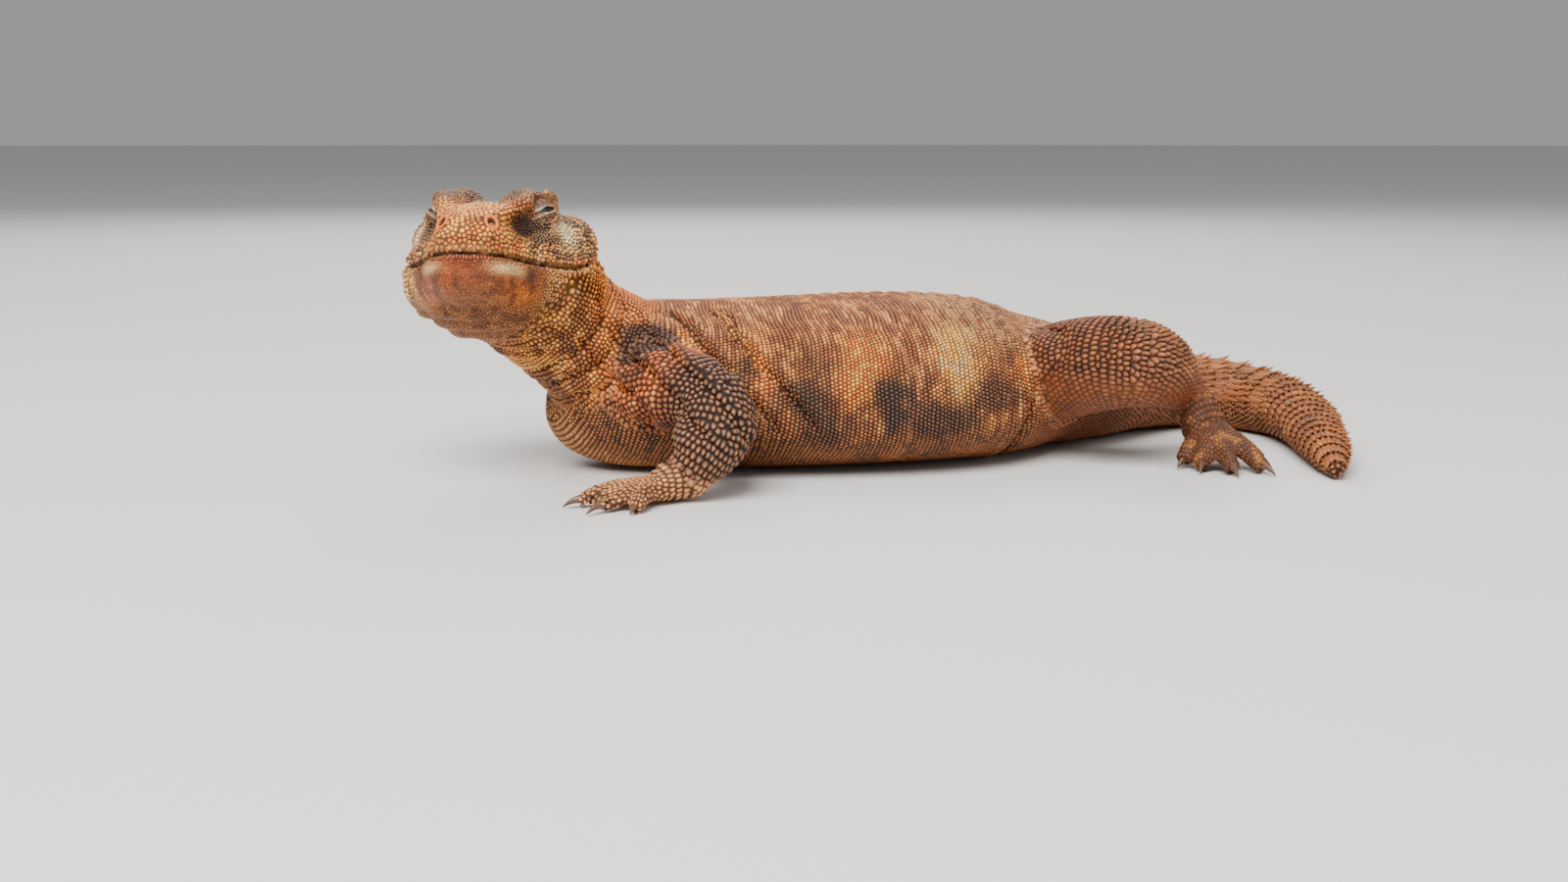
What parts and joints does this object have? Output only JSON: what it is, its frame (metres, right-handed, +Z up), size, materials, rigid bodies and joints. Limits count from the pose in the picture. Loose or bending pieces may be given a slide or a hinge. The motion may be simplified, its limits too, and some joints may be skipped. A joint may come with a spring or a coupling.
{
  "type": "uromastyx lizard",
  "caption": "Life-size spiny-tailed lizard lying on its belly, head raised and turned to its left, legs sprawled and spiny tail curled beside the left hind foot.",
  "frame": {"origin": "middle of the bounding box on the floor, under the belly", "axes": "+X from the shoulders towards the rump along the trunk, -Y the animal's left side, +Z up from the floor"},
  "size_m": [0.2342, 0.1356, 0.0662],
  "materials": {
    "head_skin": "scaly skin, yellow-orange with dark and cream scales",
    "body_skin": "fine-scaled skin, tan-brown back, orange flanks with a dark band",
    "leg_skin": "keeled scales, orange-brown to dark brown, pale tips",
    "tail_skin": "ringed spiny scales, reddish brown",
    "eye": "wet, dark"
  },
  "bodies": {
    "root": {"head": "head_skin", "neck": "head_skin", "torso": "body_skin", "eye_left": "eye", "eye_right": "eye", "tail_1": "tail_skin", "tail_2": "tail_skin", "tail_3": "tail_skin", "tail_4": "tail_skin", "foreleg_left_upper": "leg_skin", "foreleg_left_lower": "leg_skin", "foreleg_left_hand": "leg_skin", "hindleg_left_thigh": "leg_skin", "hindleg_left_shin": "leg_skin", "hindleg_left_foot": "leg_skin", "foreleg_right_upper": "leg_skin", "foreleg_right_lower": "leg_skin", "foreleg_right_hand": "leg_skin", "hindleg_right_thigh": "leg_skin", "hindleg_right_shin": "leg_skin", "hindleg_right_foot": "leg_skin"}
  },
  "joints": []
}
